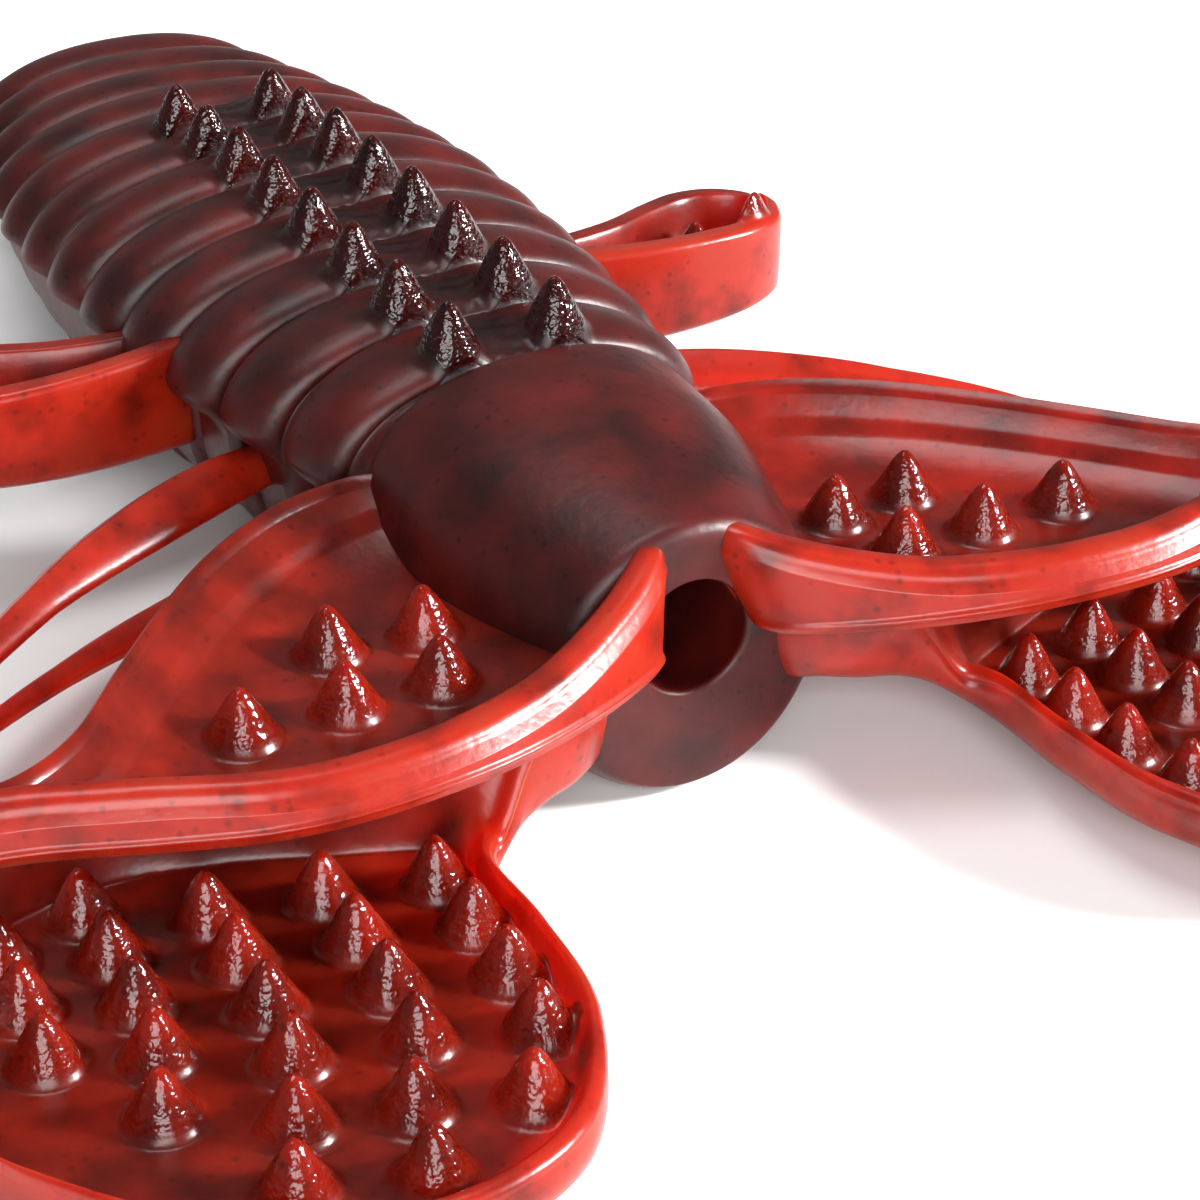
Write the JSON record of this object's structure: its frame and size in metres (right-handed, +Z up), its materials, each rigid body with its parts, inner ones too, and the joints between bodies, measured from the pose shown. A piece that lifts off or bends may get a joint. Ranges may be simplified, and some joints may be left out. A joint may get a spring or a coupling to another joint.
{
  "type": "soft plastic crayfish fishing lure",
  "caption": "Soft moulded crayfish lure: ribbed body, smooth carapace, flat face with a round pocket, cupped claws, wide paddles, fins and pointed legs.",
  "frame": {"origin": "middle of the length and width, on the flat belly line that the lure rests on", "axes": "+Z up, +Y towards the tail, -Y out of the flat face, +X to the right when looking towards the tail"},
  "size_m": [0.0558, 0.0828, 0.0139],
  "materials": {
    "deep_plastisol": "translucent dark red soft PVC, satin gloss, flecked",
    "thin_plastisol": "translucent bright red soft PVC where it is thin, gloss"
  },
  "bodies": {
    "head": {"face_end": "deep_plastisol", "carapace": "deep_plastisol", "ring_01": "deep_plastisol", "claw_root_right": "thin_plastisol", "claw_root_left": "thin_plastisol", "paddle_root_right": "thin_plastisol", "paddle_root_left": "thin_plastisol"},
    "segment_02": {"ring_02": "deep_plastisol"},
    "segment_03": {"ring_03": "deep_plastisol"},
    "segment_04": {"ring_04": "deep_plastisol"},
    "segment_05": {"ring_05": "deep_plastisol"},
    "segment_06": {"ring_06": "deep_plastisol"},
    "segment_07": {"ring_07": "deep_plastisol"},
    "segment_08": {"ring_08": "deep_plastisol"},
    "segment_09": {"ring_09": "deep_plastisol"},
    "segment_10": {"ring_10": "deep_plastisol"},
    "segment_11": {"ring_11": "deep_plastisol"},
    "segment_12": {"ring_12": "deep_plastisol"},
    "tail": {"tail_tip": "deep_plastisol"},
    "claw_right_body": {"claw_right": "thin_plastisol"},
    "paddle_right_body": {"paddle_right": "thin_plastisol"},
    "rear_fin_right_body": {"rear_fin_right": "thin_plastisol"},
    "front_leg_right_body": {"front_leg_right": "thin_plastisol"},
    "rear_leg_right_body": {"rear_leg_right": "thin_plastisol"},
    "claw_left_body": {"claw_left": "thin_plastisol"},
    "paddle_left_body": {"paddle_left": "thin_plastisol"},
    "rear_fin_left_body": {"rear_fin_left": "thin_plastisol"},
    "front_leg_left_body": {"front_leg_left": "thin_plastisol"},
    "rear_leg_left_body": {"rear_leg_left": "thin_plastisol"}
  },
  "joints": [
    {"name": "bend_02", "type": "hinge", "parent": "head", "child": "segment_02", "pos_m": [0, -0.00694, 0.006], "axis": [0, 0, 1], "range_deg": [-2.5, 2.5], "stiffness_Nm_per_rad": 0.005},
    {"name": "bend_03", "type": "hinge", "parent": "segment_02", "child": "segment_03", "pos_m": [0, -0.00299, 0.006], "axis": [0, 0, 1], "range_deg": [-2.5, 2.5], "stiffness_Nm_per_rad": 0.005},
    {"name": "bend_04", "type": "hinge", "parent": "segment_03", "child": "segment_04", "pos_m": [0, 0.00085, 0.006], "axis": [0, 0, 1], "range_deg": [-2.5, 2.5], "stiffness_Nm_per_rad": 0.005},
    {"name": "bend_05", "type": "hinge", "parent": "segment_04", "child": "segment_05", "pos_m": [0, 0.00458, 0.006], "axis": [0, 0, 1], "range_deg": [-2.5, 2.5], "stiffness_Nm_per_rad": 0.005},
    {"name": "bend_06", "type": "hinge", "parent": "segment_05", "child": "segment_06", "pos_m": [0, 0.00819, 0.006], "axis": [0, 0, 1], "range_deg": [-2.5, 2.5], "stiffness_Nm_per_rad": 0.005},
    {"name": "bend_07", "type": "hinge", "parent": "segment_06", "child": "segment_07", "pos_m": [0, 0.01169, 0.006], "axis": [0, 0, 1], "range_deg": [-2.5, 2.5], "stiffness_Nm_per_rad": 0.005},
    {"name": "bend_08", "type": "hinge", "parent": "segment_07", "child": "segment_08", "pos_m": [0, 0.01509, 0.006], "axis": [0, 0, 1], "range_deg": [-2.5, 2.5], "stiffness_Nm_per_rad": 0.005},
    {"name": "bend_09", "type": "hinge", "parent": "segment_08", "child": "segment_09", "pos_m": [0, 0.01839, 0.006], "axis": [0, 0, 1], "range_deg": [-2.5, 2.5], "stiffness_Nm_per_rad": 0.005},
    {"name": "bend_10", "type": "hinge", "parent": "segment_09", "child": "segment_10", "pos_m": [0, 0.02159, 0.006], "axis": [0, 0, 1], "range_deg": [-2.5, 2.5], "stiffness_Nm_per_rad": 0.005},
    {"name": "bend_11", "type": "hinge", "parent": "segment_10", "child": "segment_11", "pos_m": [0, 0.02469, 0.006], "axis": [0, 0, 1], "range_deg": [-2.5, 2.5], "stiffness_Nm_per_rad": 0.005},
    {"name": "bend_12", "type": "hinge", "parent": "segment_11", "child": "segment_12", "pos_m": [0, 0.0277, 0.006], "axis": [0, 0, 1], "range_deg": [-2.5, 2.5], "stiffness_Nm_per_rad": 0.005},
    {"name": "bend_tail", "type": "hinge", "parent": "segment_12", "child": "tail", "pos_m": [0, 0.03061, 0.006], "axis": [0, 0, 1], "range_deg": [-2.5, 2.5], "stiffness_Nm_per_rad": 0.005},
    {"name": "claw_right_flap", "type": "hinge", "parent": "head", "child": "claw_right_body", "pos_m": [0.0059, -0.02632, 0.0086], "axis": [-0.1045, -0.9945, 0], "range_deg": [-1.5, 22], "stiffness_Nm_per_rad": 0.006},
    {"name": "paddle_right_sway", "type": "hinge", "parent": "head", "child": "paddle_right_body", "pos_m": [0.0066, -0.02562, 0.0028], "axis": [0, 0, 1], "range_deg": [-12, 12], "stiffness_Nm_per_rad": 0.004},
    {"name": "rear_fin_right_flap", "type": "hinge", "parent": "segment_04", "child": "rear_fin_right_body", "pos_m": [0.0119, 0.00118, 0.0062], "axis": [0, -1, 0], "range_deg": [-10, 30], "stiffness_Nm_per_rad": 0.0008},
    {"name": "front_leg_right_sway", "type": "hinge", "parent": "head", "child": "front_leg_right_body", "pos_m": [0.0097, -0.00962, 0.0038], "axis": [0, 0, 1], "range_deg": [-12, 12], "stiffness_Nm_per_rad": 0.0005},
    {"name": "rear_leg_right_sway", "type": "hinge", "parent": "segment_02", "child": "rear_leg_right_body", "pos_m": [0.0104, -0.00582, 0.0053], "axis": [0, 0, 1], "range_deg": [-12, 12], "stiffness_Nm_per_rad": 0.0005},
    {"name": "claw_left_flap", "type": "hinge", "parent": "head", "child": "claw_left_body", "pos_m": [-0.0059, -0.02632, 0.0086], "axis": [-0.1045, 0.9945, 0], "range_deg": [-1.5, 22], "stiffness_Nm_per_rad": 0.006},
    {"name": "paddle_left_sway", "type": "hinge", "parent": "head", "child": "paddle_left_body", "pos_m": [-0.0066, -0.02562, 0.0028], "axis": [0, 0, -1], "range_deg": [-12, 12], "stiffness_Nm_per_rad": 0.004},
    {"name": "rear_fin_left_flap", "type": "hinge", "parent": "segment_04", "child": "rear_fin_left_body", "pos_m": [-0.0119, 0.00118, 0.0062], "axis": [0, 1, 0], "range_deg": [-10, 30], "stiffness_Nm_per_rad": 0.0008},
    {"name": "front_leg_left_sway", "type": "hinge", "parent": "head", "child": "front_leg_left_body", "pos_m": [-0.0097, -0.00962, 0.0038], "axis": [0, 0, -1], "range_deg": [-12, 12], "stiffness_Nm_per_rad": 0.0005},
    {"name": "rear_leg_left_sway", "type": "hinge", "parent": "segment_02", "child": "rear_leg_left_body", "pos_m": [-0.0104, -0.00582, 0.0053], "axis": [0, 0, -1], "range_deg": [-12, 12], "stiffness_Nm_per_rad": 0.0005}
  ],
  "couplings": [
    {"joint": "bend_03", "follows": "bend_02", "ratio": 1},
    {"joint": "bend_04", "follows": "bend_02", "ratio": 1},
    {"joint": "bend_05", "follows": "bend_02", "ratio": 1},
    {"joint": "bend_06", "follows": "bend_02", "ratio": 1},
    {"joint": "bend_07", "follows": "bend_02", "ratio": 1},
    {"joint": "bend_08", "follows": "bend_02", "ratio": 1},
    {"joint": "bend_09", "follows": "bend_02", "ratio": 1},
    {"joint": "bend_10", "follows": "bend_02", "ratio": 1},
    {"joint": "bend_11", "follows": "bend_02", "ratio": 1},
    {"joint": "bend_12", "follows": "bend_02", "ratio": 1},
    {"joint": "bend_tail", "follows": "bend_02", "ratio": 1}
  ]
}
